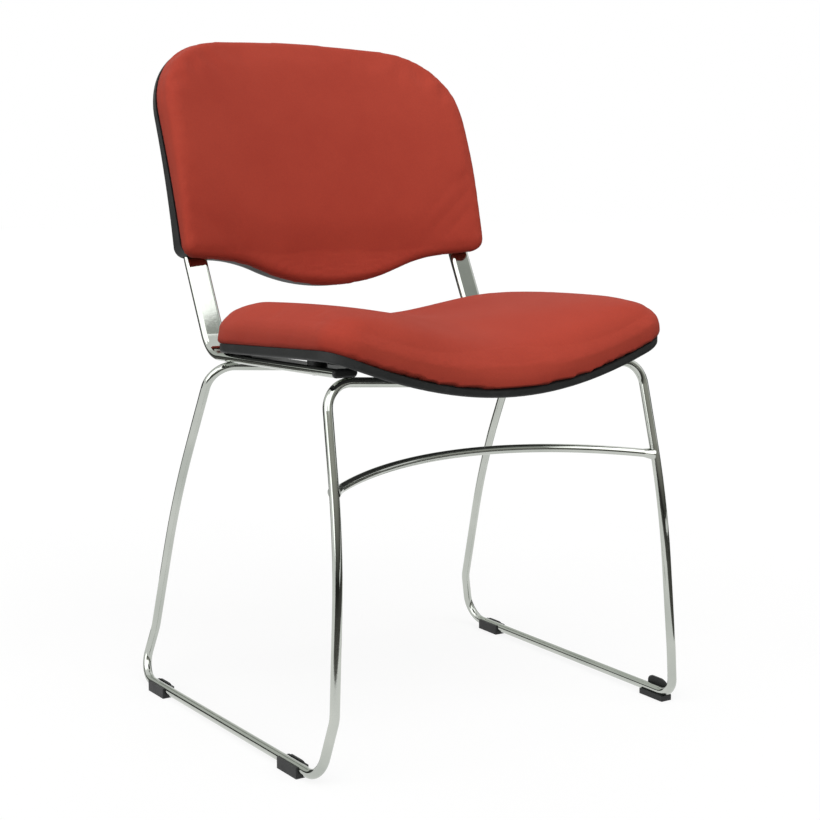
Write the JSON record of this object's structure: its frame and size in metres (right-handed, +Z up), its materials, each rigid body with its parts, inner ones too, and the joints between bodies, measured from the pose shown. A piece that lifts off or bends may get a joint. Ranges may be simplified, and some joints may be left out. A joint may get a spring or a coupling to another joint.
{
  "type": "visitor chair",
  "caption": "Armless visitor chair: bent chromed sled base, flat uprights, and a fabric seat and back with black plastic backing.",
  "frame": {"origin": "on the floor under the middle of the chair's outer box", "axes": "+Z up, +X to the right as seen from the front of the chair, +Y from the seat's front edge towards the back"},
  "size_m": [0.5306, 0.5334, 0.8224],
  "materials": {
    "chrome": "polished chrome plate",
    "fabric": "plain woven upholstery",
    "black_plastic": "satin moulded",
    "foam": "cut foam",
    "plywood": "raw moulded plywood",
    "zinc": "zinc plated"
  },
  "bodies": {
    "root": {"left_sled_rod": "chrome", "right_sled_rod": "chrome", "front_stretcher": "chrome", "left_back_upright": "chrome", "right_back_upright": "chrome", "left_tube_plug": "black_plastic", "right_tube_plug": "black_plastic", "front_left_glide": "black_plastic", "front_right_glide": "black_plastic", "rear_left_glide": "black_plastic", "rear_right_glide": "black_plastic", "seat_pan": "black_plastic", "seat_cover": "fabric", "seat_board": "plywood", "seat_foam": "foam", "seat_bolts": "zinc", "seat_tee_nuts": "zinc", "seat_pan_screws": "zinc", "back_shell": "black_plastic", "back_cover": "fabric", "back_board": "plywood", "back_foam": "foam", "back_bolts": "zinc", "back_tee_nuts": "zinc", "back_shell_screws": "zinc"}
  },
  "joints": []
}
